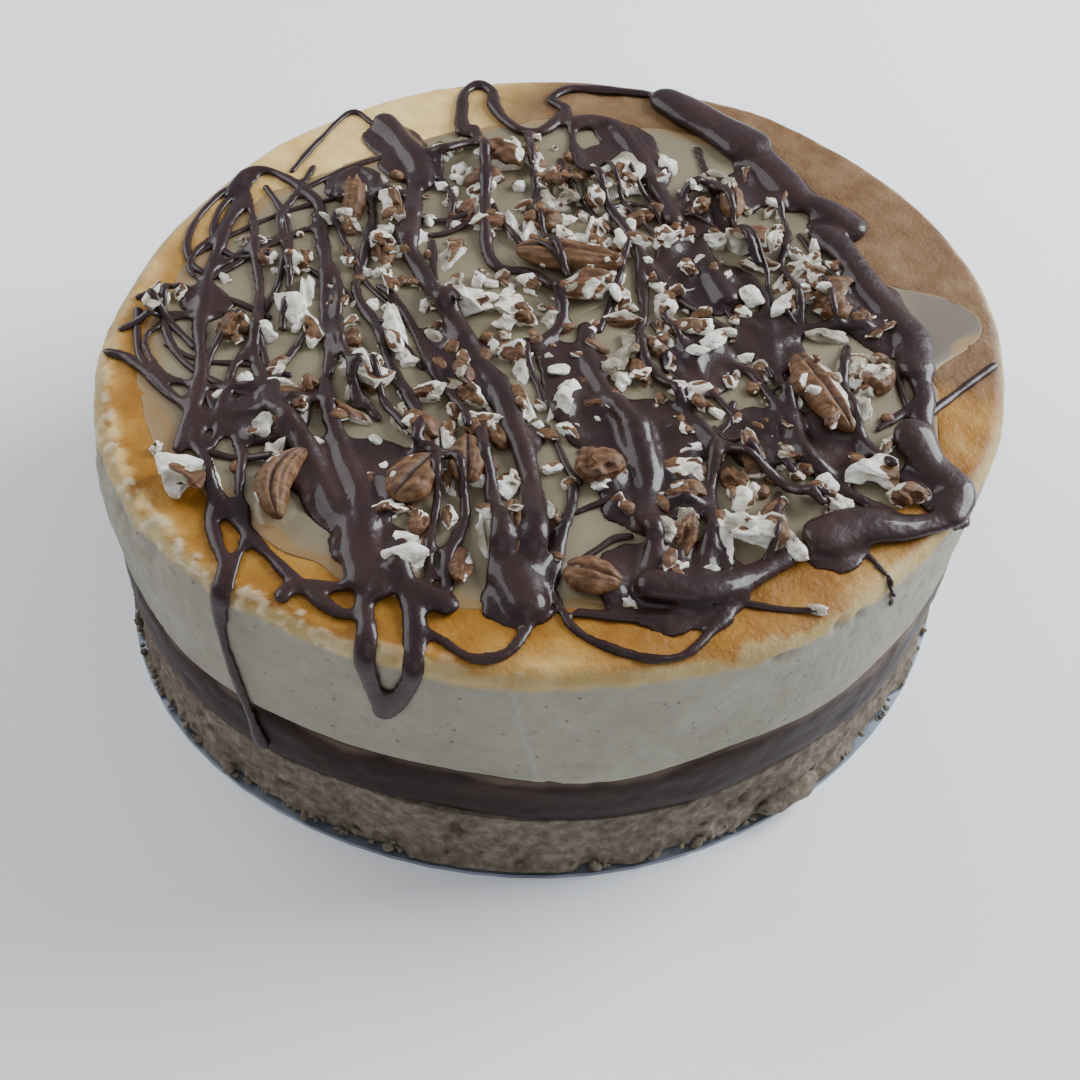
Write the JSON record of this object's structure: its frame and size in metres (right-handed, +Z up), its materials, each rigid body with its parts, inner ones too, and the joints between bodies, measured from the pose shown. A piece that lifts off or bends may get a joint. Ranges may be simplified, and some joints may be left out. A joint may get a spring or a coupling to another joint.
{
  "type": "baked cheesecake",
  "caption": "Whole round baked cheesecake on its tin base: biscuit, chocolate layer, deep filling, caramel pool, chopped pecans and thick chocolate drizzle that runs over the rim.",
  "frame": {"origin": "centre of the underside of the tin base, on the surface the cake stands on", "axes": "+Z up, -Y towards the front of the cake as pictured, +X to its right"},
  "size_m": [0.2043, 0.2054, 0.0809],
  "materials": {
    "tin": "dulled tinned steel, satin",
    "biscuit": "matte, coarse crumb",
    "chocolate_band": "satin, smooth",
    "filling": "soft matte, browned golden top",
    "topping": "glossy dark drizzle over wet caramel",
    "pecan": "waxy brown skin",
    "pecan_flesh": "matte cream broken nut"
  },
  "bodies": {
    "root": {"tin_base": "tin", "biscuit_base": "biscuit", "chocolate_layer": "chocolate_band", "cheesecake_filling": "filling", "topping": "topping", "pecan_half_1": "pecan", "pecan_half_2": "pecan", "pecan_half_3": "pecan", "pecan_half_4": "pecan", "pecan_half_5": "pecan", "pecan_half_6": "pecan", "pecan_half_7": "pecan", "pecan_chunk_8": "pecan_flesh", "pecan_half_9": "pecan", "pecan_chunk_10": "pecan_flesh", "pecan_chunk_11": "pecan_flesh", "pecan_chunk_12": "pecan_flesh", "pecan_chunk_13": "pecan_flesh", "pecan_chunk_14": "pecan_flesh", "pecan_chunk_15": "pecan_flesh", "pecan_chunk_16": "pecan_flesh", "pecan_chunk_17": "pecan_flesh", "pecan_chunk_18": "pecan_flesh", "pecan_chunk_19": "pecan_flesh", "pecan_chunk_20": "pecan_flesh", "pecan_chunk_21": "pecan_flesh"}
  },
  "joints": []
}
